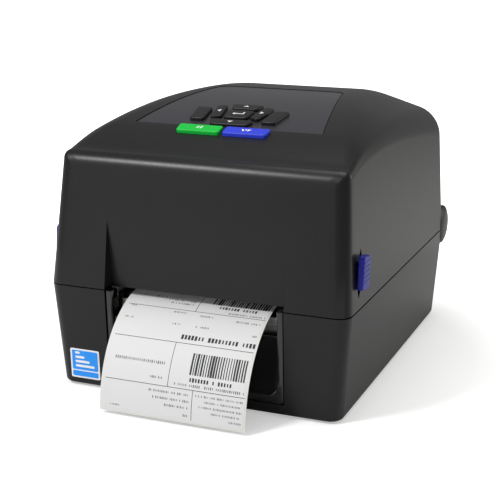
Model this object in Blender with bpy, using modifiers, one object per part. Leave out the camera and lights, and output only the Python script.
# Desktop thermal label printer, clamshell type, with its label web loaded.
# Metres, +Z up, +X is the printer's right-hand side, the front faces -Y.
# The origin is on the table, under the middle of the printer's bounding box.
import math

import bmesh
import bpy
from mathutils import Matrix, Vector

MM = 0.001

# ---- driving dimensions -------------------------------------------------------------------
BODY_HALF_WIDTH = 113 * MM      # half the width at the parting line, the widest level
BODY_DEPTH = 280 * MM           # front face to rear wall at the parting line
PARTING_HEIGHT = 77.5 * MM      # level where the lid meets the base
FRONT_TOP_HEIGHT = 173.4 * MM   # top of the front face, before its fillet
BASE_TAPER = 5.8 * MM           # how far each side of the base draws in at the bottom
BASE_FRONT_DRAFT = 4.7 * MM     # how far the base front leans back at the bottom
LID_SIDE_LEAN = 0.0647          # inward lean of the lid's sides, metre per metre
LID_FRONT_LEAN = 0.1335         # backward lean of the lid's front, metre per metre
LID_LEAN_FADE = 60 * MM         # distance behind the front over which that lean fades
CREST_SLOPE = 0.358             # slope of the top where it leaves the front
CREST_CURVE = 1.105             # how fast that slope falls off, per metre
CREST_START = 12.8 * MM
WALL = 2.5 * MM
GAP = 0.3 * MM                  # clearance between pieces that touch
PARTING_GAP = 0.8 * MM
FRONT_FILLET = 10 * MM
REAR_FILLET = 11 * MM
CORNER_RADIUS = 10 * MM
BOTTOM_FILLET = 2.5 * MM

FOOT_HEIGHT = 1.5 * MM
FLOOR_THICKNESS = 3.5 * MM
FOOT_RADIUS = 9 * MM
FOOT_HALF_TRACK = 86 * MM
FOOT_INSET = 30 * MM            # foot centres from the front and rear walls

MOUTH_HALF_WIDTH = 67.6 * MM    # front opening for the label, lid and base alike
MOUTH_SILL = 9.5 * MM
RECESS_TOP = 127 * MM           # the lid's recessed front panel starts here
RECESS_DEPTH = 11 * MM          # and is this far in at its lower edge
INSERT_GAP = 0.8 * MM
INSERT_RIM = 4.6 * MM
INSERT_THICKNESS = 2.6 * MM
INSERT_MIDDLE_TOP = 57 * MM
INSERT_RIM_DEPTH = 9 * MM

WEB_HALF_WIDTH = 54.3 * MM      # backing paper of a 4 inch label
WEB_THICKNESS = 0.4 * MM
WEB_HEIGHT = 74.4 * MM          # underside of the web where it runs level
TAIL_REACH = 34.5 * MM          # the printed tail hangs this far in front of the body
TAIL_END_HEIGHT = 2.5 * MM

PLATEN_Y = 30 * MM              # distances in Y are behind the front face
PLATEN_RADIUS = 7 * MM
PLATEN_HALF_LENGTH = 57 * MM
SHAFT_RADIUS = 3 * MM
CHEEK_INNER = 61.5 * MM
CHEEK_THICKNESS = 3.5 * MM
DECK_REAR = 122 * MM
DECK_TOP = 72 * MM

GEAR_MODULE = 1.0 * MM
PLATEN_TEETH = 20
IDLER_TEETH = 25
PINION_TEETH = 12
GEAR_FACE = 5 * MM
GEAR_BACKLASH = 0.25 * MM
MOTOR_SIZE = 40 * MM
MOTOR_LENGTH = 34 * MM

ROLL_Y = 185 * MM
ROLL_ABOVE_FLOOR = 7 * MM       # under the full roll
ROLL_RADIUS = 50 * MM
CORE_RADIUS = 15 * MM
CORE_WALL = 2 * MM
HOLDER_THICKNESS = 4 * MM
RAIL_Y = 252 * MM
RAIL_HEIGHT = 22 * MM
RAIL_RADIUS = 4 * MM

HINGE_BEHIND = 2 * MM           # hinge axis behind the rear wall
HINGE_RISE = 1.5 * MM           # and above the parting level
DRUM_RADIUS = 16.5 * MM
DRUM_INNER = 96 * MM
DRUM_PROUD = 1.5 * MM           # how far its outer face stands proud of the side
LUG_INNER = 78 * MM
LUG_RADIUS = 8 * MM
PIN_RADIUS = 2.5 * MM

PANEL_FRONT = 63 * MM
PANEL_REAR = 180 * MM
PANEL_HALF_FRONT = 72.5 * MM
PANEL_HALF_REAR = 51 * MM
PANEL_CORNER = 9 * MM           # rounding of its two rear corners
PANEL_POCKET = 1.5 * MM         # depth of the pocket it lies in
PANEL_SUNK = 0.4 * MM           # how far its face lies below the lid's
KEY_CLEARANCE = 0.35 * MM
KEY_PROUD = 2.2 * MM
KEY_DEPTH = 7 * MM

LATCH_Y = 32 * MM
LATCH_HEIGHT = 137 * MM
LATCH_SHAFT_RADIUS = 3 * MM
HOOK_INNER = 86 * MM
HOOK_OUTER = 90 * MM
TAB_PROUD = 4.6 * MM
CATCH_RADIUS = 2.5 * MM

HEAD_FRONT = 22 * MM
HEAD_DEPTH = 34 * MM
FRAME_INNER = 60 * MM
FRAME_OUTER = 63 * MM
FRAME_FRONT = 17 * MM
FRAME_REAR = 124 * MM
FRAME_TOP = 163 * MM
SUPPLY_Y = 98 * MM
SUPPLY_HEIGHT = 124 * MM
SUPPLY_RADIUS = 22 * MM
TAKEUP_Y = 56 * MM
TAKEUP_HEIGHT = 116 * MM
TAKEUP_RADIUS = 15 * MM
SPINDLE_RADIUS = 5 * MM
RIBBON_HALF_WIDTH = 55 * MM

DRUM_OUTER = BODY_HALF_WIDTH + DRUM_PROUD
HINGE_Y = BODY_DEPTH + HINGE_BEHIND
HINGE_HEIGHT = PARTING_HEIGHT + HINGE_RISE
REAR_EXTENT = HINGE_Y + DRUM_RADIUS
FRONT_Y = (TAIL_REACH + WEB_THICKNESS - REAR_EXTENT) / 2   # the front face's place in the world
LID_BOTTOM = PARTING_HEIGHT + PARTING_GAP / 2
BASE_TOP = PARTING_HEIGHT - PARTING_GAP / 2
PLATEN_HEIGHT = WEB_HEIGHT - GAP - PLATEN_RADIUS
FLOOR_TOP = FOOT_HEIGHT + FLOOR_THICKNESS
ROLL_HEIGHT = FLOOR_TOP + ROLL_ABOVE_FLOOR + ROLL_RADIUS

for leftover in list(bpy.data.objects):
    bpy.data.objects.remove(leftover, do_unlink=True)

PARTS = bpy.data.collections.new("thermal_label_printer")
CUTTERS = bpy.data.collections.new("cutters")
bpy.context.scene.collection.children.link(PARTS)
bpy.context.scene.collection.children.link(CUTTERS)


# ---- materials ----------------------------------------------------------------------------
def material(name, colour, roughness, metallic=0.0):
    made = bpy.data.materials.new(name)
    made.use_nodes = True
    shader = made.node_tree.nodes["Principled BSDF"]
    shader.inputs["Base Color"].default_value = (*colour, 1.0)
    shader.inputs["Roughness"].default_value = roughness
    shader.inputs["Metallic"].default_value = metallic
    return made


# ---- making and cutting -------------------------------------------------------------------
def add_object(name, mesh, finish):
    made = bpy.data.objects.new(name, mesh)
    if finish is None:
        CUTTERS.objects.link(made)
        made.hide_render = True
        made.display_type = "WIRE"
    else:
        PARTS.objects.link(made)
        mesh.materials.append(material(name + "_finish", *finish))
    return made


def at(x, y, z):
    """A point given from the front face and the table, as a world position."""
    return Vector((x, FRONT_Y + y, z))


def mesh_from(bm, name):
    mesh = bpy.data.meshes.new(name)
    bm.to_mesh(mesh)
    bm.free()
    return mesh


def face_outwards(bm):
    bmesh.ops.recalc_face_normals(bm, faces=bm.faces)
    if bm.calc_volume(signed=True) < 0:
        bmesh.ops.reverse_faces(bm, faces=bm.faces)


def block(name, low, high, finish=None, bevel=0.0, segments=2):
    """A box between two corners, with its edges rounded if asked."""
    bm = bmesh.new()
    size = [b - a for a, b in zip(low, high)]
    bmesh.ops.create_cube(bm, size=1.0, matrix=Matrix.Diagonal((*size, 1.0)))
    made = add_object(name, mesh_from(bm, name), finish)
    made.location = at(*[(a + b) / 2 for a, b in zip(low, high)])
    if bevel:
        round_edges(made, bevel, segments)
    return made


def round_edges(target, width, segments=2, angle=50):
    bevel = target.modifiers.new("round", "BEVEL")
    bevel.width = width
    bevel.segments = segments
    bevel.limit_method = "ANGLE"
    bevel.angle_limit = math.radians(angle)


ALONG = {
    "X": Matrix(((0, 0, 1), (1, 0, 0), (0, 1, 0))).to_4x4(),
    "Y": Matrix(((1, 0, 0), (0, 0, -1), (0, 1, 0))).to_4x4(),
    "Z": Matrix.Identity(4),
}


def plate(name, outline, axis, low, high, finish=None, centre=(0, 0, 0)):
    """A flat outline given thickness along an axis. The outline is in (y, z), (x, z) or (x, y)."""
    curve = bpy.data.curves.new(name + "_outline", "CURVE")
    curve.dimensions = "2D"
    curve.fill_mode = "BOTH"
    curve.extrude = (high - low) / 2
    spline = curve.splines.new("POLY")
    spline.points.add(len(outline) - 1)
    for point, (u, v) in zip(spline.points, outline):
        point.co = (u, v, 0, 1)
    spline.use_cyclic_u = True
    drawn = bpy.data.objects.new(name + "_drawn", curve)
    CUTTERS.objects.link(drawn)
    bpy.context.view_layer.update()
    graph = bpy.context.evaluated_depsgraph_get()
    mesh = bpy.data.meshes.new_from_object(drawn.evaluated_get(graph))
    bpy.data.objects.remove(drawn, do_unlink=True)
    bm = bmesh.new()
    bm.from_mesh(mesh)
    bpy.data.meshes.remove(mesh)
    bmesh.ops.remove_doubles(bm, verts=bm.verts, dist=0.000002)
    bmesh.ops.dissolve_limit(bm, angle_limit=0.001, verts=bm.verts, edges=bm.edges)
    middle = (low + high) / 2
    shift = {"X": (middle, 0, 0), "Y": (0, middle, 0), "Z": (0, 0, middle)}[axis]
    bm.transform(Matrix.Translation(shift) @ ALONG[axis])
    face_outwards(bm)
    made = add_object(name, mesh_from(bm, name), finish)
    made.location = at(*centre)
    return made


def turned(name, profile, centre, finish=None, steps=32, closed=False):
    """A turned piece with its axis along X. The profile is (radius, x), from high x to low x."""
    bm = bmesh.new()
    verts = [bm.verts.new((radius, 0, height)) for radius, height in profile]
    for first, second in zip(verts, verts[1:]):
        bm.edges.new((first, second))
    if closed:
        bm.edges.new((verts[-1], verts[0]))
    made = add_object(name, mesh_from(bm, name), finish)
    made.location = at(*centre)
    made.rotation_euler = (0, math.radians(90), 0)
    screw = made.modifiers.new("turn", "SCREW")
    screw.axis = "Z"
    screw.steps = steps
    screw.render_steps = steps
    screw.use_merge_vertices = True
    screw.merge_threshold = 0.00001
    screw.use_smooth_shade = True
    return made


def rod(name, radius, low, high, y, z, finish=None, steps=24, chamfer=0.0):
    middle = (low + high) / 2
    half = (high - low) / 2
    profile = [(0, half), (radius - chamfer, half)]
    if chamfer:
        profile += [(radius, half - chamfer), (radius, chamfer - half)]
    profile += [(radius - chamfer, -half), (0, -half)]
    return turned(name, profile, (middle, y, z), finish, steps)


def loft(name, sections, finish=None):
    """A closed body through a list of loops that all have the same number of points."""
    bm = bmesh.new()
    loops = [[bm.verts.new(at(*point)) for point in section] for section in sections]
    count = len(loops[0])
    for first, second in zip(loops, loops[1:]):
        for i in range(count):
            j = (i + 1) % count
            bm.faces.new((first[i], first[j], second[j], second[i]))
    bm.faces.new(list(reversed(loops[0])))
    bm.faces.new(loops[-1])
    face_outwards(bm)
    return add_object(name, mesh_from(bm, name), finish)


def boolean(target, other, operation):
    change = target.modifiers.new(operation.lower() + "_" + other.name, "BOOLEAN")
    change.operation = operation
    change.solver = "EXACT"
    change.object = other


def cut(target, *cutters):
    for cutter in cutters:
        boolean(target, cutter, "DIFFERENCE")


def join(target, *others):
    for other in others:
        boolean(target, other, "UNION")


def rounded(corners, steps=4):
    """A closed outline from (u, v, radius) corners, each turned into an arc."""
    points = []
    count = len(corners)
    for i, (u, v, radius) in enumerate(corners):
        here = Vector((u, v))
        before = (Vector(corners[i - 1][:2]) - here).normalized()
        after = (Vector(corners[(i + 1) % count][:2]) - here).normalized()
        if radius <= 0:
            points.append((u, v))
            continue
        half = before.angle(after) / 2
        reach = radius / math.tan(half)
        centre = here + (before + after).normalized() * (radius / math.sin(half))
        start = here + before * reach - centre
        finish = here + after * reach - centre
        sweep = start.angle_signed(finish)
        for step in range(steps + 1):
            turn = -sweep * step / steps
            spun = Matrix.Rotation(turn, 2) @ start
            points.append(tuple(centre + spun))
    return points


# ---- the body's outer form ----------------------------------------------------------------
def crest(y):
    """Height of the lid's top on its centre line."""
    run = y - CREST_START
    return FRONT_TOP_HEIGHT + CREST_SLOPE * run - CREST_CURVE * run * run


def lerp(table, y):
    """Straight-line value from a short list of (distance, value) stations."""
    if y <= table[0][0]:
        return table[0][1]
    for (y0, v0), (y1, v1) in zip(table, table[1:]):
        if y <= y1:
            return v0 + (v1 - v0) * (y - y0) / (y1 - y0)
    return table[-1][1]


FLAT_HALF = [(12 * MM, 100 * MM), (60 * MM, 92 * MM), (115 * MM, 81 * MM), (180 * MM, 64 * MM),
             (280 * MM, 52 * MM)]
SHOULDER_HEIGHT = [(12 * MM, 172.5 * MM), (50 * MM, 179 * MM), (100 * MM, 182.5 * MM),
                   (175 * MM, 183 * MM), (280 * MM, 176 * MM)]
SHOULDER_RADIUS = [(0, 4 * MM), (50 * MM, 10 * MM), (100 * MM, 15 * MM), (175 * MM, 22 * MM),
                   (280 * MM, 26 * MM)]
SOFT_RADIUS = [(0, 8 * MM), (100 * MM, 40 * MM), (280 * MM, 60 * MM)]


def lid_section(y, inset, bottom):
    """The lid's cross-section at one distance from the front, drawn in by inset all round."""
    top = crest(y) - inset
    flat = lerp(FLAT_HALF, y) - inset
    shoulder = min(lerp(SHOULDER_HEIGHT, y) - inset, top - 0.6 * MM)
    side = BODY_HALF_WIDTH - inset
    shoulder_x = side - LID_SIDE_LEAN * (shoulder - PARTING_HEIGHT)
    radius = max(lerp(SHOULDER_RADIUS, y) - inset, 2 * MM)
    room = (shoulder_x - flat) * 0.45
    soft = max(lerp(SOFT_RADIUS, y) - inset, 4 * MM)
    half = [(side, bottom, 0), (shoulder_x, shoulder, min(radius, room * 2.5)),
            (flat, top, min(soft, room * 4))]
    whole = half + [(-u, v, r) for u, v, r in reversed(half)]
    return rounded(whole)


def lid_body(name, inset, bottom, finish=None):
    """The lid as one solid: its front and rear edges rounded by drawing the end sections in."""
    stations = []
    arc_steps = 4
    front_radius = FRONT_FILLET - inset
    rear_radius = REAR_FILLET - inset
    for step in range(arc_steps):
        turn = math.radians(90) * step / arc_steps
        stations.append((inset + front_radius * (1 - math.cos(turn)),
                         front_radius * (1 - math.sin(turn))))
    straight = [FRONT_FILLET, 24 * MM, 42 * MM, LID_LEAN_FADE, 88 * MM, 115 * MM, 145 * MM, 175 * MM,
                205 * MM, 235 * MM, BODY_DEPTH - REAR_FILLET]
    stations += [(y, 0) for y in straight]
    for step in range(1, arc_steps + 1):
        turn = math.radians(90) * step / arc_steps
        stations.append((BODY_DEPTH - inset - rear_radius * (1 - math.sin(turn)),
                         rear_radius * (1 - math.cos(turn))))
    sections = []
    for y, draw in stations:
        fade = max(0.0, 1 - y / LID_LEAN_FADE)
        lean = LID_FRONT_LEAN * fade
        outline = lid_section(max(y, CREST_START), inset + draw, bottom)
        sections.append([(u, y + lean * (v - PARTING_HEIGHT), v) for u, v in outline])
    return loft(name, sections, finish)


def base_section(z, inset):
    """The base's plan outline at one height."""
    rise = z / PARTING_HEIGHT
    side = BODY_HALF_WIDTH - BASE_TAPER * (1 - rise) - inset
    front = BASE_FRONT_DRAFT * (1 - rise) + inset
    rear = BODY_DEPTH - inset
    radius = max(CORNER_RADIUS - inset, 2 * MM)
    corners = [(side, front, radius), (side, rear, radius), (-side, rear, radius),
               (-side, front, radius)]
    return [(u, v, z) for u, v in rounded(corners, 5)]


def base_body(name, inset, bottom, top, finish=None):
    """The base as one solid, its lower edges rounded."""
    sections = []
    radius = max(BOTTOM_FILLET - inset, 1 * MM)
    steps = 3
    for step in range(steps + 1):
        turn = math.radians(90) * step / steps
        sections.append(base_section(bottom + radius * (1 - math.cos(turn)),
                                     inset + radius * (1 - math.sin(turn))))
    sections.append(base_section(top, inset))
    return loft(name, sections, finish)


# ---- finishes: colour, roughness, metallic ------------------------------------------------
CASE_PLASTIC = ((0.045, 0.045, 0.047), 0.45)
GLOSS_BLACK = ((0.008, 0.008, 0.009), 0.12)
DARK_PLASTIC = ((0.02, 0.02, 0.022), 0.5)
PANEL_GREY = ((0.10, 0.10, 0.11), 0.3)
BLUE_PLASTIC = ((0.02, 0.02, 0.45), 0.35)
FEED_BLUE = ((0.035, 0.06, 0.68), 0.35)
PAUSE_GREEN = ((0.0, 0.62, 0.06), 0.35)
KEY_GREY = ((0.05, 0.05, 0.055), 0.4)
PAPER = ((0.85, 0.85, 0.85), 0.7)
CARD = ((0.42, 0.28, 0.16), 0.8)
RUBBER = ((0.02, 0.02, 0.02), 0.8)
STEEL = ((0.55, 0.55, 0.56), 0.3, 1.0)
WHITE_NYLON = ((0.75, 0.74, 0.7), 0.45)
BOARD_GREEN = ((0.01, 0.12, 0.04), 0.4)
RIBBON_FILM = ((0.01, 0.01, 0.012), 0.2)
BADGE = ((0.0, 0.25, 1.0), 0.4)

BEYOND = 20 * MM                # how far a cutter runs past what it cuts


def wedge(name, extra):
    """The space in front of the lid's recessed panel, grown inwards by extra."""
    def depth(z):
        return LID_FRONT_LEAN * (z - PARTING_HEIGHT)
    top = RECESS_TOP + extra
    low = PARTING_HEIGHT - BEYOND
    slope = (RECESS_DEPTH - depth(RECESS_TOP)) / (RECESS_TOP - PARTING_HEIGHT)
    outline = [(depth(RECESS_TOP) + extra, top), (-BEYOND, top), (-BEYOND, low),
               (RECESS_DEPTH + slope * BEYOND + extra, low)]
    half = MOUTH_HALF_WIDTH + extra
    return plate(name, outline, "X", -half, half)


# ---- lid shell ----------------------------------------------------------------------------
lid_shell = lid_body("lid_shell", 0.0, LID_BOTTOM, CASE_PLASTIC)
lid_hollow = lid_body("lid_hollow", WALL, LID_BOTTOM - BEYOND)
cut(lid_hollow, wedge("recess_backing", WALL))
cut(lid_shell, lid_hollow, wedge("recess_front", 0.0))

# ---- base shell ---------------------------------------------------------------------------
base_shell = base_body("base_shell", 0.0, FOOT_HEIGHT, BASE_TOP, CASE_PLASTIC)
cut(base_shell, base_body("base_hollow", WALL, FLOOR_TOP, BASE_TOP + BEYOND))
cut(base_shell, block("mouth_cut", (-MOUTH_HALF_WIDTH, -BEYOND, MOUTH_SILL),
                      (MOUTH_HALF_WIDTH, CORNER_RADIUS, BASE_TOP + BEYOND)))

# ---- hinge: a drum at each rear corner, fixed to the base, with the lid's lug inside it ----
for side, sign in (("right", 1), ("left", -1)):
    centre_x = sign * (DRUM_INNER + DRUM_OUTER) / 2
    centre = (centre_x, HINGE_Y, HINGE_HEIGHT)
    half = (DRUM_OUTER - DRUM_INNER) / 2
    bore = PIN_RADIUS + GAP
    face = half * sign
    blind = face - sign * 4 * MM
    edge = 1.2 * MM
    inner = -face
    drum_profile = [(0, face), (DRUM_RADIUS - edge, face), (DRUM_RADIUS, face - sign * edge),
                    (DRUM_RADIUS, inner), (bore, inner), (bore, blind), (0, blind)]
    if sign < 0:
        drum_profile = list(reversed(drum_profile))
    turned("hinge_cap_" + side, drum_profile, centre, CASE_PLASTIC, 40)
    lug_mid = sign * (LUG_INNER + DRUM_INNER - GAP) / 2
    lug_half = (DRUM_INNER - GAP - LUG_INNER) / 2
    lug = rod("lug_" + side, LUG_RADIUS, lug_mid - lug_half, lug_mid + lug_half,
              HINGE_Y, HINGE_HEIGHT, steps=26)
    web_half = lug_half - 1 * MM
    lug_web = block("lug_web_" + side, (lug_mid - web_half, BODY_DEPTH - 0.6 * WALL, HINGE_HEIGHT),
                    (lug_mid + web_half, HINGE_Y + LUG_RADIUS * 0.6, HINGE_HEIGHT + 14 * MM))
    join(lid_shell, lug_web, lug)
    lo, hi = sorted((sign * (DRUM_INNER - GAP), sign * (DRUM_OUTER + BEYOND)))
    notch = rod("drum_notch_" + side, DRUM_RADIUS + 2 * GAP, lo, hi, HINGE_Y, HINGE_HEIGHT, steps=40)
    cut(lid_shell, notch)
    cut(base_shell, notch)
    lo, hi = sorted((sign * (LUG_INNER - 2 * GAP), sign * (DRUM_INNER + GAP)))
    relief = rod("lug_relief_" + side, LUG_RADIUS + 2 * GAP, lo, hi, HINGE_Y, HINGE_HEIGHT, steps=28)
    cut(base_shell, relief)
    lo, hi = sorted((sign * (LUG_INNER - BEYOND), sign * (DRUM_INNER + GAP)))
    cut(lid_shell, rod("pin_bore_" + side, bore, lo, hi, HINGE_Y, HINGE_HEIGHT, steps=20))
    lo, hi = sorted((sign * LUG_INNER, sign * (DRUM_OUTER - 4 * MM - GAP)))
    rod("hinge_pin_" + side, PIN_RADIUS, lo, hi, HINGE_Y, HINGE_HEIGHT, STEEL, 20, 0.4 * MM)

# ---- feet ---------------------------------------------------------------------------------
for name, sign, y in (("front_right", 1, FOOT_INSET), ("front_left", -1, FOOT_INSET),
                      ("rear_right", 1, BODY_DEPTH - FOOT_INSET),
                      ("rear_left", -1, BODY_DEPTH - FOOT_INSET)):
    thickness = FOOT_HEIGHT - GAP
    foot = turned("foot_" + name, [(0, thickness), (FOOT_RADIUS, thickness),
                                   (FOOT_RADIUS - 1 * MM, 0), (0, 0)],
                  (sign * FOOT_HALF_TRACK, y, 0), RUBBER, 24)
    foot.rotation_euler = (0, 0, 0)

# ---- front insert: the gloss black panel in the mouth of the base -------------------------
insert_half = MOUTH_HALF_WIDTH - INSERT_GAP
insert_low = MOUTH_SILL + INSERT_GAP


def base_front(z):
    return BASE_FRONT_DRAFT * (1 - z / PARTING_HEIGHT)


insert_face = [(base_front(insert_low) + 0.4 * MM, insert_low), (0.4 * MM, BASE_TOP),
               (INSERT_RIM_DEPTH, BASE_TOP), (INSERT_RIM_DEPTH, insert_low)]
front_insert = plate("front_insert", insert_face, "X", -insert_half, insert_half, GLOSS_BLACK)
dish_half = insert_half - INSERT_RIM
dish_low = insert_low + INSERT_RIM
dish = rounded([(-dish_half, dish_low, 8 * MM), (-dish_half, BASE_TOP + BEYOND, 0),
                (dish_half, BASE_TOP + BEYOND, 0), (dish_half, dish_low, 8 * MM)])
cut(front_insert, plate("insert_dish", dish, "Y", -BEYOND, INSERT_RIM_DEPTH - INSERT_THICKNESS))
cut(front_insert, block("insert_top", (-dish_half, -BEYOND, INSERT_MIDDLE_TOP),
                        (dish_half, BEYOND, BASE_TOP + BEYOND)))

# ---- badge on the base front ---------------------------------------------------------------
badge_low = 6.6 * MM
badge_high = 29.4 * MM
badge_half = 11.8 * MM
badge = [(base_front(z) - lift, z) for z, lift in ((badge_low, GAP), (badge_high, GAP),
                                                   (badge_high, 2 * GAP), (badge_low, 2 * GAP))]
plate("energy_badge", badge, "X", -86.6 * MM - badge_half, -86.6 * MM + badge_half, BADGE)

# ---- chassis: deck and two cheeks that carry the platen and the motor ---------------------
cheek_low = FLOOR_TOP + GAP
cheek_outer = CHEEK_INNER + CHEEK_THICKNESS
chassis_front = INSERT_RIM_DEPTH + 8 * MM
chassis = block("chassis", (-cheek_outer, chassis_front, cheek_low),
                (cheek_outer, DECK_REAR, DECK_TOP), DARK_PLASTIC)
cut(chassis, block("chassis_inside", (-CHEEK_INNER, -BEYOND, -BEYOND),
                   (CHEEK_INNER, DECK_REAR + BEYOND, DECK_TOP - 2.5 * MM)))
cut(chassis, block("platen_well", (-CHEEK_INNER, chassis_front - BEYOND, FLOOR_TOP),
                   (CHEEK_INNER, PLATEN_Y + PLATEN_RADIUS + 2 * MM, DECK_TOP + BEYOND)))
shaft_hole = SHAFT_RADIUS + GAP
cut(chassis, rod("shaft_holes", shaft_hole, -cheek_outer - BEYOND, cheek_outer + BEYOND,
                 PLATEN_Y, PLATEN_HEIGHT, steps=20))

# ---- gear train on the left: platen gear, idler, motor pinion ------------------------------
def gear(name, teeth, centre, phase, finish, bore=0.0):
    """A spur gear with straight-sided teeth, turning about X."""
    pitch = GEAR_MODULE * teeth / 2
    outer = pitch + GEAR_MODULE * 0.8
    root = pitch - GEAR_MODULE * 1.1
    outline = []
    for tooth in range(teeth):
        middle = phase + 2 * math.pi * tooth / teeth
        for radius, width in ((root, -0.60), (outer, -0.22), (outer, 0.22), (root, 0.60)):
            turn = middle + width * math.pi / teeth
            outline.append((radius * math.cos(turn), radius * math.sin(turn)))
    return plate(name, outline, "X", -GEAR_FACE / 2, GEAR_FACE / 2, finish, centre)


gear_x = -(cheek_outer + 3 * MM + GEAR_FACE / 2)
idler_turn = math.radians(-38)
idler_reach = GEAR_MODULE * (PLATEN_TEETH + IDLER_TEETH) / 2 + GEAR_BACKLASH
IDLER_Y = PLATEN_Y + idler_reach * math.cos(idler_turn)
IDLER_HEIGHT = PLATEN_HEIGHT + idler_reach * math.sin(idler_turn)
pinion_turn = math.radians(-30)
pinion_reach = GEAR_MODULE * (IDLER_TEETH + PINION_TEETH) / 2 + GEAR_BACKLASH
PINION_Y = IDLER_Y + pinion_reach * math.cos(pinion_turn)
PINION_HEIGHT = IDLER_HEIGHT + pinion_reach * math.sin(pinion_turn)
half_gap = math.pi / IDLER_TEETH

# a tooth of each gear points along the line of centres into a gap of the next
idler_phase = idler_turn + math.pi + half_gap
spare = (pinion_turn - idler_phase) % (2 * math.pi / IDLER_TEETH)
pinion_phase = pinion_turn + math.pi + math.pi / PINION_TEETH + spare * IDLER_TEETH / PINION_TEETH
platen_gear = gear("platen_gear", PLATEN_TEETH, (gear_x, PLATEN_Y, PLATEN_HEIGHT), idler_turn,
                   WHITE_NYLON)
idler_gear = gear("idler_gear", IDLER_TEETH, (gear_x, IDLER_Y, IDLER_HEIGHT), idler_phase,
                  WHITE_NYLON)
pinion = gear("motor_pinion", PINION_TEETH, (gear_x, PINION_Y, PINION_HEIGHT), pinion_phase, STEEL)

idler_hole = 2.5 * MM
cut(idler_gear, rod("idler_bore", idler_hole + GAP, gear_x - BEYOND, gear_x + BEYOND,
                    IDLER_Y, IDLER_HEIGHT, steps=16))
join(chassis, rod("idler_post", idler_hole, gear_x - GEAR_FACE / 2 - 1 * MM, -CHEEK_INNER - 1 * MM,
                  IDLER_Y, IDLER_HEIGHT, steps=16))
cut(platen_gear, rod("platen_gear_bore", SHAFT_RADIUS + GAP / 2, gear_x - BEYOND, gear_x + BEYOND,
                     PLATEN_Y, PLATEN_HEIGHT, steps=20))
motor_shaft = 2.5 * MM
cut(chassis, rod("motor_boss_hole", 11.4 * MM, -cheek_outer - BEYOND, -CHEEK_INNER + 1 * MM,
                 PINION_Y, PINION_HEIGHT, steps=28))
motor = block("stepper_motor",
              (-CHEEK_INNER + GAP, PINION_Y - MOTOR_SIZE / 2, PINION_HEIGHT - MOTOR_SIZE / 2),
              (-CHEEK_INNER + GAP + MOTOR_LENGTH, PINION_Y + MOTOR_SIZE / 2,
               PINION_HEIGHT + MOTOR_SIZE / 2), STEEL, 2 * MM, 1)
join(motor, rod("motor_boss", 11 * MM, -cheek_outer + 0.5 * MM, -CHEEK_INNER + 2 * MM,
                PINION_Y, PINION_HEIGHT, steps=28))
cut(motor, rod("motor_bearing", motor_shaft + GAP, -cheek_outer - BEYOND, -CHEEK_INNER + 6 * MM,
               PINION_Y, PINION_HEIGHT, steps=16))
join(pinion, rod("motor_shaft", motor_shaft, gear_x - GEAR_FACE / 2 - 1 * MM,
                 -CHEEK_INNER + 5 * MM, PINION_Y, PINION_HEIGHT, steps=16))

# ---- platen -------------------------------------------------------------------------------
shaft_left = gear_x - GEAR_FACE / 2 - 2 * MM
rod("platen_shaft", SHAFT_RADIUS, shaft_left, cheek_outer + 3 * MM, PLATEN_Y, PLATEN_HEIGHT,
    STEEL, 20, 0.4 * MM)
sleeve = SHAFT_RADIUS + GAP / 2
turned("platen_roller", [(sleeve, PLATEN_HALF_LENGTH), (PLATEN_RADIUS, PLATEN_HALF_LENGTH),
                         (PLATEN_RADIUS, -PLATEN_HALF_LENGTH), (sleeve, -PLATEN_HALF_LENGTH)],
       (0, PLATEN_Y, PLATEN_HEIGHT), RUBBER, 36, closed=True)

# ---- tear bar, web sensor and guide bar ----------------------------------------------------
tear_y = INSERT_RIM_DEPTH + 5 * MM
tear_half = CHEEK_INNER - 1 * MM
tear_teeth = 40
tear_top = 68.8 * MM
tear_outline = [(-tear_half, 50 * MM), (tear_half, 50 * MM)]
for tooth in range(tear_teeth, -1, -1):
    across = -tear_half + 2 * tear_half * tooth / tear_teeth
    tear_outline.append((across, tear_top - (0.9 * MM if tooth % 2 else 0.0)))
plate("tear_bar", tear_outline, "Y", tear_y, tear_y + 1.2 * MM, STEEL)
block("web_sensor", (-9 * MM, 62 * MM, DECK_TOP + GAP), (9 * MM, 78 * MM, WEB_HEIGHT - GAP),
      DARK_PLASTIC, 0.4 * MM, 1)
guide_bar_y = DECK_REAR - 8 * MM
guide_bar_radius = 3 * MM
guide_bar_height = WEB_HEIGHT + WEB_THICKNESS + GAP + guide_bar_radius
guide_reach = CHEEK_INNER - 3.5 * MM
rod("guide_bar", guide_bar_radius, -guide_reach + GAP, guide_reach - GAP, guide_bar_y,
    guide_bar_height, STEEL, 20, 0.4 * MM)
for side, sign in (("right", 1), ("left", -1)):
    lo, hi = sorted((sign * (guide_reach - 2.5 * MM), sign * (guide_reach + 0.5 * MM)))
    join(chassis, block("guide_post_" + side, (lo, guide_bar_y - 5 * MM, DECK_TOP - 1 * MM),
                        (hi, guide_bar_y + 5 * MM, guide_bar_height + 4.5 * MM)))
    cut(chassis, rod("post_hole_" + side, guide_bar_radius + GAP, lo - BEYOND, hi + BEYOND,
                     guide_bar_y, guide_bar_height, steps=20))
    lo, hi = sorted((sign * (WEB_HALF_WIDTH + GAP), sign * (WEB_HALF_WIDTH + 2.3 * MM)))
    foot_lo, foot_hi = sorted((sign * (WEB_HALF_WIDTH - 6 * MM), sign * (WEB_HALF_WIDTH + 2.3 * MM)))
    fence = block("edge_guide_" + side, (lo, 84 * MM, DECK_TOP + GAP), (hi, 104 * MM, 80 * MM),
                  BLUE_PLASTIC)
    join(fence, block("fence_foot_" + side, (foot_lo, 84 * MM, DECK_TOP + GAP),
                      (foot_hi, 104 * MM, DECK_TOP + GAP + 1.5 * MM)))

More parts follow.
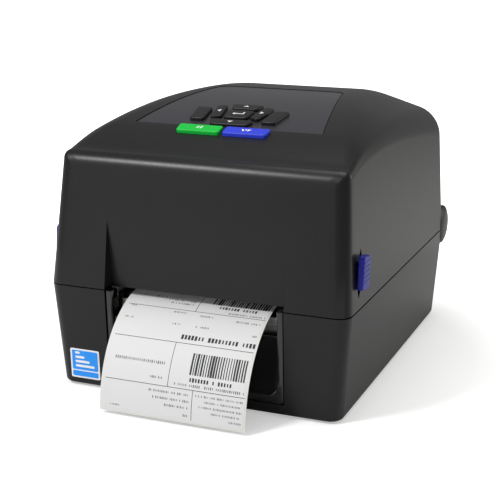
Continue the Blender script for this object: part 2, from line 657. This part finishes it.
# ---- media roll, its core and the two spring holders ---------------------------------------
core_bore = CORE_RADIUS - CORE_WALL
turned("label_roll", [(CORE_RADIUS + GAP, WEB_HALF_WIDTH), (ROLL_RADIUS, WEB_HALF_WIDTH),
                      (ROLL_RADIUS, -WEB_HALF_WIDTH), (CORE_RADIUS + GAP, -WEB_HALF_WIDTH)],
       (0, ROLL_Y, ROLL_HEIGHT), PAPER, 48, closed=True)
turned("roll_core", [(core_bore, WEB_HALF_WIDTH), (CORE_RADIUS, WEB_HALF_WIDTH),
                     (CORE_RADIUS, -WEB_HALF_WIDTH), (core_bore, -WEB_HALF_WIDTH)],
       (0, ROLL_Y, ROLL_HEIGHT), CARD, 32, closed=True)
hub_radius = core_bore - 0.6 * MM
hub_reach = 9 * MM
arm_half = 10 * MM
for side, sign in (("right", 1), ("left", -1)):
    face = WEB_HALF_WIDTH + 0.5 * MM
    lo, hi = sorted((sign * face, sign * (face + HOLDER_THICKNESS)))
    rail_from = Vector((RAIL_Y, RAIL_HEIGHT))
    roll_at = Vector((ROLL_Y, ROLL_HEIGHT))
    arm = (rail_from - roll_at).normalized()
    across = Vector((-arm.y, arm.x)) * arm_half
    ends = [roll_at + across, roll_at - across, rail_from - across + arm * 9 * MM,
            rail_from + across + arm * 9 * MM]
    holder = plate("media_holder_" + side, [tuple(p) for p in ends], "X", lo, hi, BLUE_PLASTIC)
    join(holder, rod("holder_disc_" + side, 24 * MM, lo, hi, ROLL_Y, ROLL_HEIGHT, steps=32))
    hub_lo, hub_hi = sorted((sign * (face - hub_reach), sign * (face + 1 * MM)))
    join(holder, rod("holder_hub_" + side, hub_radius, hub_lo, hub_hi, ROLL_Y, ROLL_HEIGHT,
                     steps=28, chamfer=1 * MM))
    cut(holder, rod("holder_slide_" + side, RAIL_RADIUS + GAP, lo - BEYOND, hi + BEYOND,
                    RAIL_Y, RAIL_HEIGHT, steps=20))
    post_lo, post_hi = sorted((sign * 88 * MM, sign * 94 * MM))
    join(base_shell, block("rail_post_" + side, (post_lo, RAIL_Y - 9 * MM, FLOOR_TOP - 1 * MM),
                           (post_hi, RAIL_Y + 9 * MM, RAIL_HEIGHT + 9 * MM)))
    cut(base_shell, rod("rail_hole_" + side, RAIL_RADIUS + GAP, post_lo - 3 * MM, post_hi + 3 * MM,
                        RAIL_Y, RAIL_HEIGHT, steps=20))
rod("media_rail", RAIL_RADIUS, -96 * MM, 96 * MM, RAIL_Y, RAIL_HEIGHT, STEEL, 20, 0.5 * MM)


# ---- label web: off the roll, under the guide bar, over the platen and out of the mouth -----
def web_line():
    """Underside of the web, from the tail's end back to the roll, as (y, z) points."""
    lip_y = 20 * MM
    lip_z = WEB_HEIGHT - 1.6 * MM
    tail_y = -TAIL_REACH
    points = []
    steps = 12
    for step in range(steps + 1):
        share = step / steps
        bend = math.sin(share * math.pi / 2)
        drop = 1 - math.cos(share * math.pi / 2)
        straight = 0.30
        y = tail_y + (lip_y - tail_y) * (drop * (1 - straight) + share * share * straight)
        z = TAIL_END_HEIGHT + (lip_z - TAIL_END_HEIGHT) * (bend * (1 - straight) + share * straight)
        points.append(Vector((y, z)))
    points.append(Vector((PLATEN_Y, WEB_HEIGHT)))
    points.append(Vector((guide_bar_y - 1 * MM, WEB_HEIGHT)))
    roll_at = Vector((ROLL_Y, ROLL_HEIGHT))
    bend_at = Vector((guide_bar_y + 2 * MM, WEB_HEIGHT + 0.4 * MM))
    away = roll_at - bend_at
    radius = ROLL_RADIUS + GAP
    reach = math.sqrt(away.length_squared - radius * radius)
    rising = math.atan2(away.y, away.x) + math.asin(radius / away.length)
    points.append(bend_at)
    points.append(bend_at + Vector((math.cos(rising), math.sin(rising))) * reach)
    return points


def thickened(points, thickness):
    """The closed outline of a strip whose lower face follows the points."""
    upper = []
    for i, point in enumerate(points):
        run = (points[min(i + 1, len(points) - 1)] - points[max(i - 1, 0)]).normalized()
        upper.append(point + Vector((-run.y, run.x)) * thickness)
    return [tuple(p) for p in points] + [tuple(p) for p in reversed(upper)]


plate("label_web", thickened(web_line(), WEB_THICKNESS), "X", -WEB_HALF_WIDTH, WEB_HALF_WIDTH,
      PAPER)

# ---- print mechanism in the lid -----------------------------------------------------------
mech = block("lid_frame", (-FRAME_OUTER, FRAME_FRONT, LID_BOTTOM + 3 * MM),
             (FRAME_OUTER, FRAME_REAR, FRAME_TOP), DARK_PLASTIC)
cut(mech, block("frame_inside", (-FRAME_INNER, FRAME_FRONT - BEYOND, 0),
                (FRAME_INNER, FRAME_REAR + BEYOND, FRAME_TOP - 3 * MM)))
head_low = WEB_HEIGHT + WEB_THICKNESS + GAP
head_half = FRAME_INNER - 1.5 * MM
head_outline = [(HEAD_FRONT, head_low + 5 * MM), (PLATEN_Y - 3 * MM, head_low),
                (PLATEN_Y + 4 * MM, head_low), (HEAD_FRONT + HEAD_DEPTH, head_low + 9 * MM),
                (HEAD_FRONT + HEAD_DEPTH, head_low + 12 * MM), (HEAD_FRONT, head_low + 12 * MM)]
plate("print_head", head_outline, "X", -head_half, head_half, STEEL)
bridge_low = head_low + 12 * MM + 4 * MM
plate("head_bridge", [(HEAD_FRONT + 3 * MM, bridge_low), (HEAD_FRONT + HEAD_DEPTH, bridge_low),
                      (HEAD_FRONT + HEAD_DEPTH, bridge_low + 3 * MM),
                      (HEAD_FRONT + 3 * MM, bridge_low + 3 * MM)],
      "X", -FRAME_INNER + GAP, FRAME_INNER - GAP, DARK_PLASTIC)
for name, y, z, radius in (("supply", SUPPLY_Y, SUPPLY_HEIGHT, SUPPLY_RADIUS),
                           ("takeup", TAKEUP_Y, TAKEUP_HEIGHT, TAKEUP_RADIUS)):
    spindle = rod("ribbon_" + name + "_spindle", SPINDLE_RADIUS, -FRAME_OUTER - 4 * MM,
                  FRAME_OUTER + 4 * MM, y, z, BLUE_PLASTIC, 20, 0.8 * MM)
    cut(mech, rod("spindle_hole_" + name, SPINDLE_RADIUS + GAP, -FRAME_OUTER - BEYOND,
                  FRAME_OUTER + BEYOND, y, z, steps=20))
    turned("ribbon_" + name + "_roll",
           [(SPINDLE_RADIUS + GAP, RIBBON_HALF_WIDTH), (radius, RIBBON_HALF_WIDTH),
            (radius, -RIBBON_HALF_WIDTH), (SPINDLE_RADIUS + GAP, -RIBBON_HALF_WIDTH)],
           (0, y, z), RIBBON_FILM, 32, closed=True)

# ---- lid latch: two thumb tabs and hooks on one shaft --------------------------------------
rod("latch_shaft", LATCH_SHAFT_RADIUS, -HOOK_OUTER, HOOK_OUTER, LATCH_Y, LATCH_HEIGHT, STEEL, 20)
cut(mech, rod("latch_clearance", LATCH_SHAFT_RADIUS + 2 * GAP, -FRAME_OUTER - BEYOND,
              FRAME_OUTER + BEYOND, LATCH_Y, LATCH_HEIGHT, steps=20))
catch_height = BASE_TOP - 6 * MM
catch_y = LATCH_Y + 7 * MM
hook = [(LATCH_Y - 5 * MM, LATCH_HEIGHT + 5 * MM), (LATCH_Y - 4 * MM, catch_height - 8 * MM),
        (catch_y + 1.5 * MM, catch_height - 8 * MM), (catch_y + 2.5 * MM, catch_height - 4 * MM),
        (LATCH_Y + 3 * MM, catch_height - 3.4 * MM), (LATCH_Y + 5 * MM, LATCH_HEIGHT + 5 * MM)]
SLOT_HALF_WIDTH = 7 * MM
LENS_STEPS = 8
slot_foot = Vector((24.5 * MM, 85.5 * MM))
slot_head = Vector((33 * MM, 118.5 * MM))
tab_stem_low = 99 * MM
tab_stem_high = 109 * MM
tab_outline = rounded([(18 * MM, 93 * MM, 3 * MM), (34 * MM, 90.5 * MM, 3 * MM),
                       (36.5 * MM, 114 * MM, 3 * MM), (20.5 * MM, 117 * MM, 3 * MM)], 3)
tab_inner = BODY_HALF_WIDTH - LID_SIDE_LEAN * 14 * MM + 2 * GAP
tab_outer = tab_inner + TAB_PROUD
for side, sign in (("right", 1), ("left", -1)):
    lo, hi = sorted((sign * HOOK_INNER, sign * HOOK_OUTER))
    arm = plate("latch_hook_" + side, hook, "X", lo, hi, DARK_PLASTIC)
    cut(arm, rod("hook_bore_" + side, LATCH_SHAFT_RADIUS + GAP / 2, lo - BEYOND, hi + BEYOND,
                 LATCH_Y, LATCH_HEIGHT, steps=20))
    lo, hi = sorted((sign * tab_inner, sign * tab_outer))
    tab = plate("latch_tab_" + side, tab_outline, "X", lo, hi, BLUE_PLASTIC)
    lo, hi = sorted((sign * (HOOK_OUTER + GAP), sign * (tab_inner + 1 * MM)))
    join(tab, block("tab_stem_" + side, (lo, LATCH_Y - 3.5 * MM, tab_stem_low),
                    (hi, LATCH_Y + 1.5 * MM, tab_stem_high)))
    lens = []
    for bulge, shares in ((-SLOT_HALF_WIDTH, range(LENS_STEPS)),
                          (SLOT_HALF_WIDTH, range(LENS_STEPS, 0, -1))):
        for step in shares:
            share = step / LENS_STEPS
            along = slot_foot.lerp(slot_head, share)
            lens.append((along.x + bulge * math.sin(math.pi * share), along.y))
    lo, hi = sorted((sign * (HOOK_OUTER + 2 * MM), sign * (BODY_HALF_WIDTH + BEYOND)))
    cut(lid_shell, plate("tab_slot_" + side, lens, "X", lo, hi))
    lo, hi = sorted((sign * (HOOK_INNER - 2 * MM), sign * (HOOK_OUTER + 14 * MM)))
    catch = rod("latch_catch_" + side, CATCH_RADIUS, lo, hi, catch_y, catch_height, steps=16)
    lo, hi = sorted((sign * (HOOK_OUTER + 3 * MM), sign * (HOOK_OUTER + 14 * MM)))
    post = block("catch_post_" + side, (lo, catch_y - 4 * MM, FLOOR_TOP - 1 * MM),
                 (hi, catch_y + 4 * MM, catch_height + 1 * MM))
    join(base_shell, post, catch)

# ---- control panel and keys ----------------------------------------------------------------
def panel_solid(name, top_lift, low_lift, grow, finish=None):
    """The overlay's body: it follows the arch of the lid between two plan widths."""
    front = PANEL_FRONT - grow
    rear = PANEL_REAR + grow
    bend = rear - PANEL_CORNER
    rows = [front + (bend - front) * step / 9 for step in range(10)]
    rows += [bend + PANEL_CORNER * math.sin(math.radians(turn)) for turn in (22, 45, 67, 90)]
    sections = []
    for y in rows:
        share = (y - PANEL_FRONT) / (PANEL_REAR - PANEL_FRONT)
        half = PANEL_HALF_FRONT + (PANEL_HALF_REAR - PANEL_HALF_FRONT) * share + grow
        past = min(max(y - bend, 0.0) / PANEL_CORNER, 1.0)
        half -= PANEL_CORNER * (1 - math.sqrt(1 - past * past))
        high = crest(y) + top_lift
        low = crest(y) + low_lift
        sections.append([(-half, y, low), (half, y, low), (half, y, high), (-half, y, high)])
    return loft(name, sections, finish)


panel = panel_solid("control_panel", -PANEL_SUNK, GAP - PANEL_POCKET, -GAP, PANEL_GREY)
cut(lid_shell, panel_solid("panel_pocket", BEYOND, -PANEL_POCKET, 0.0))

KEYS = {
    "key_soft_left": ([(-33, 72), (-22, 72), (-24.5, 96), (-36.5, 96)], KEY_GREY),
    "key_soft_right": ([(22, 72), (33, 72), (36.5, 96), (24.5, 96)], KEY_GREY),
    "key_left": ([(-18.5, 76), (-11, 79), (-15, 103), (-22.5, 101)], KEY_GREY),
    "key_right": ([(11, 79), (18.5, 76), (22.5, 101), (15, 103)], KEY_GREY),
    "key_up": ([(-9.5, 97), (9.5, 97), (13, 107), (-13, 107)], KEY_GREY),
    "key_down": ([(-14, 65), (14, 65), (17, 74), (-17, 74)], KEY_GREY),
    "key_enter": ([(-9, 78), (9, 78), (10, 93.5), (-10, 93.5)], KEY_GREY),
    "key_pause": ([(-34, 50.5), (-1.2, 50.5), (-1.2, 61.5), (-35, 61.5)], PAUSE_GREEN),
    "key_feed": ([(1.2, 50.5), (34, 50.5), (35, 61.5), (1.2, 61.5)], FEED_BLUE),
}


def key_solid(name, corners, grow, top, low, finish=None):
    """A key or its hole: an outline on the lid's top, lying square to the arch there."""
    mid_x = sum(u for u, v in corners) / len(corners) * MM
    mid_y = sum(v for u, v in corners) / len(corners) * MM
    outline = []
    for u, v in corners:
        across = u * MM - mid_x
        along = v * MM - mid_y
        outline.append((across + math.copysign(grow, across), along + math.copysign(grow, along),
                        2 * MM + grow))
    made = plate(name, rounded(outline, 3), "Z", low, top, finish)
    tilt = math.atan(CREST_SLOPE - 2 * CREST_CURVE * (mid_y - CREST_START))
    made.location = at(mid_x, mid_y, crest(mid_y))
    made.rotation_euler = (tilt, 0, 0)
    return made


for name, (corners, finish) in KEYS.items():
    key_solid(name, corners, 0.0, KEY_PROUD, -KEY_DEPTH, finish)
    hole = key_solid(name + "_hole", corners, KEY_CLEARANCE, BEYOND, -KEY_DEPTH - 6 * MM)
    cut(lid_shell, hole)
    if name not in ("key_pause", "key_feed"):
        cut(panel, hole)

# ---- electronics ---------------------------------------------------------------------------
block("main_board", (82 * MM, 60 * MM, FLOOR_TOP + 3 * MM), (83.6 * MM, 210 * MM, 68 * MM),
      BOARD_GREEN)
block("power_board", (-86 * MM, 100 * MM, FLOOR_TOP + 3 * MM), (-84.4 * MM, 215 * MM, 66 * MM),
      BOARD_GREEN)


def rear_port(name, x, z, width, height, finish, collar=1.2 * MM, reach=11 * MM):
    """A socket through the rear wall, with a collar standing just outside it."""
    wall_cut = block(name + "_window",
                     (x - width / 2 - GAP, BODY_DEPTH - BEYOND, z - height / 2 - GAP),
                     (x + width / 2 + GAP, BODY_DEPTH + BEYOND, z + height / 2 + GAP))
    cut(base_shell, wall_cut)
    return block(name, (x - width / 2, BODY_DEPTH - reach, z - height / 2),
                 (x + width / 2, BODY_DEPTH + collar, z + height / 2), finish)


PORT_LEVEL = 26 * MM
socket = rear_port("power_inlet", -70 * MM, PORT_LEVEL, 27 * MM, 20 * MM, DARK_PLASTIC)
cut(socket, block("inlet_well", (-81 * MM, BODY_DEPTH - 8 * MM, PORT_LEVEL - 7 * MM),
                  (-59 * MM, BODY_DEPTH + BEYOND, PORT_LEVEL + 7 * MM)))
serial = rear_port("serial_port", 62 * MM, PORT_LEVEL, 31 * MM, 12 * MM, STEEL)
cut(serial, block("serial_well", (50 * MM, BODY_DEPTH - 5 * MM, PORT_LEVEL - 4 * MM),
                  (74 * MM, BODY_DEPTH + BEYOND, PORT_LEVEL + 4 * MM)))
network = rear_port("ethernet_port", 28 * MM, PORT_LEVEL, 16 * MM, 13.5 * MM, STEEL)
cut(network, block("network_well", (22 * MM, BODY_DEPTH - 9 * MM, PORT_LEVEL - 4.5 * MM),
                   (34 * MM, BODY_DEPTH + BEYOND, PORT_LEVEL + 4 * MM)))
usb = rear_port("usb_port", 4 * MM, PORT_LEVEL, 12.5 * MM, 11.5 * MM, STEEL)
cut(usb, block("usb_well", (0 * MM, BODY_DEPTH - 9 * MM, PORT_LEVEL - 4 * MM),
               (8 * MM, BODY_DEPTH + BEYOND, PORT_LEVEL + 3.5 * MM)))

# ---- power switch: a rocker in its bezel ----------------------------------------------------
SWITCH_X = -38 * MM
bezel = rear_port("switch_bezel", SWITCH_X, PORT_LEVEL, 21 * MM, 15 * MM, DARK_PLASTIC)
rocker_half = 7.4 * MM
rocker_swing = rocker_half + 1.6 * MM
well_low = (SWITCH_X - rocker_swing, BODY_DEPTH - 9.5 * MM, PORT_LEVEL - 6 * MM)
well_high = (SWITCH_X + rocker_swing, BODY_DEPTH + BEYOND, PORT_LEVEL + 6 * MM)
cut(bezel, block("rocker_well", well_low, well_high))
ROCKER_Y = BODY_DEPTH - 3 * MM
rocker = [(-rocker_half, 5.6 * MM), (0, 3.4 * MM), (rocker_half, 3.4 * MM),
          (rocker_half - 1 * MM, -4 * MM), (-rocker_half + 1 * MM, -4 * MM)]
plate("power_rocker", rocker, "Z", -5.6 * MM, 5.6 * MM, DARK_PLASTIC,
      (SWITCH_X, ROCKER_Y, PORT_LEVEL))
